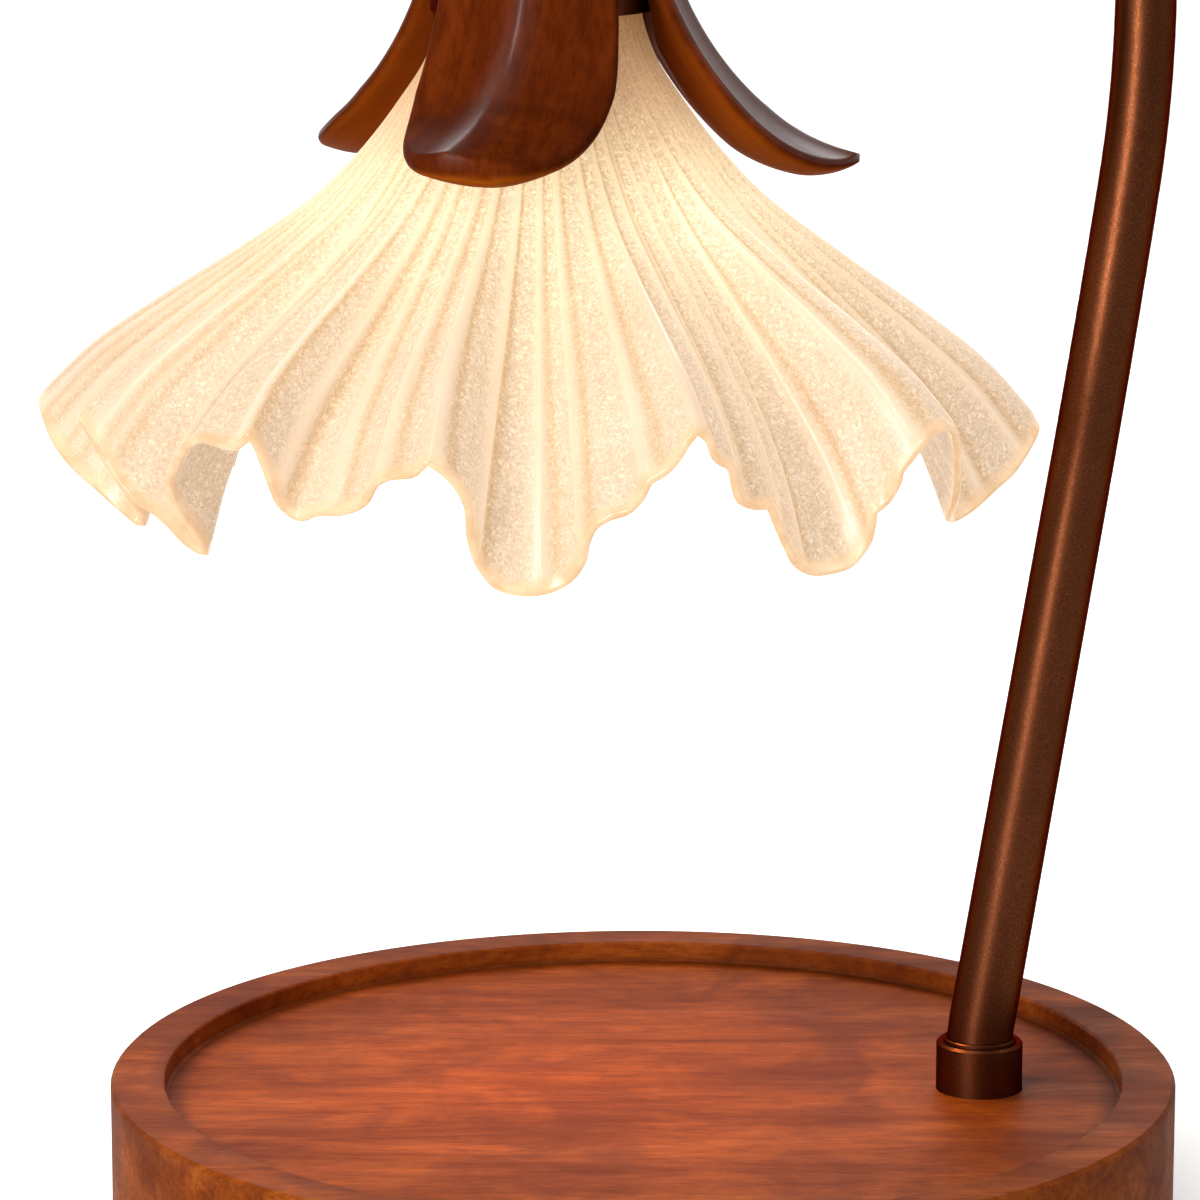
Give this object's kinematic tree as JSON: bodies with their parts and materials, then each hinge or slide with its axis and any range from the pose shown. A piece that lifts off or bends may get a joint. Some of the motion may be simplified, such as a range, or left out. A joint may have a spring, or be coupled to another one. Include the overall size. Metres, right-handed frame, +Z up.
{
  "type": "candle warmer lamp",
  "caption": "Candle warmer lamp: a round wooden tray base, a curved tapered stem that swivels at its foot, and a ruffled glass flower shade under wooden sepals over a lamp; dimmer knob.",
  "frame": {"origin": "centre of the underside of the foot pad, on the axis of the round base", "axes": "+Z up, +X from the shade towards the stem, -Y towards the front with the dimmer knob, +Y towards the cord gland at the back"},
  "size_m": [0.1746, 0.1783, 0.2807],
  "materials": {
    "base_wood": "satin stained hardwood",
    "sepal_wood": "satin dark stained hardwood",
    "bronze": "dark bronze paint, satin",
    "hub_wood": "satin dark stained hardwood",
    "shade_glass": "frosted opal glass with a glossy rim",
    "lens_glass": "clear pressed glass",
    "lamp_mirror": "bright reflector",
    "lamp_body": "white glazed",
    "ceramic": "white ceramic",
    "steel": "zinc plated",
    "brass": "plain",
    "ballast_iron": "cast, painted",
    "pad_rubber": "matte",
    "gasket_rubber": "matte silicone",
    "cover_board": "matte",
    "black_plastic": "matte",
    "white_plastic": "matte",
    "circuit_board": "satin",
    "capacitor_film": "gloss",
    "choke_copper": "enamelled copper wire",
    "lead_sleeve": "sleeving"
  },
  "bodies": {
    "base": {"base_body": "base_wood", "bottom_cover": "cover_board", "foot_pad": "pad_rubber", "cover_screws": "steel", "weight_plate": "ballast_iron", "weight_screws": "steel", "board_standoffs": "brass", "dimmer_board": "circuit_board", "board_screws": "steel", "dimmer_pot": "black_plastic", "dimmer_choke": "choke_copper", "dimmer_capacitor": "capacitor_film", "dimmer_triac": "black_plastic", "knob_escutcheon": "bronze", "cord_gland": "black_plastic", "gland_nut": "black_plastic", "clamp_base": "black_plastic", "clamp_strap": "black_plastic", "clamp_screws": "steel", "terminal_block": "white_plastic", "stem_collar": "bronze", "swivel_bush": "white_plastic", "friction_washer": "white_plastic", "stop_pin": "steel", "base_leads": "lead_sleeve"},
    "arm": {"stem": "bronze", "foot_nipple": "steel", "wave_washer": "steel", "stop_washer": "steel", "foot_nut": "steel", "stem_lead": "lead_sleeve", "hub_core": "hub_wood", "sepal_dowels": "hub_wood", "hub_cap": "bronze", "head_nipple": "steel", "sepal_front": "sepal_wood", "sepal_right": "sepal_wood", "sepal_left": "sepal_wood", "shade_cup": "bronze", "upper_gasket": "gasket_rubber", "lower_gasket": "gasket_rubber", "shade": "shade_glass", "holder_bracket": "steel", "head_nut": "steel", "lamp_holder": "ceramic", "holder_screws": "steel", "holder_contacts": "brass", "lamp_base": "lamp_body", "lamp_pins": "brass", "lamp_reflector": "lamp_mirror", "lamp_lens": "lens_glass", "lamp_capsule": "lens_glass"},
    "dimmer": {"dimmer_shaft": "steel", "dimmer_knob": "bronze", "knob_set_screw": "steel"}
  },
  "joints": [
    {"name": "stem_swivel", "type": "hinge", "parent": "base", "child": "arm", "pos_m": [0.0524, 0, 0.0247], "axis": [0, 0, 1], "range_deg": [-90, 90]},
    {"name": "dimmer_turn", "type": "hinge", "parent": "base", "child": "dimmer", "pos_m": [0, -0.085, 0.0138], "axis": [0, -1, 0], "range_deg": [-140, 140]}
  ]
}
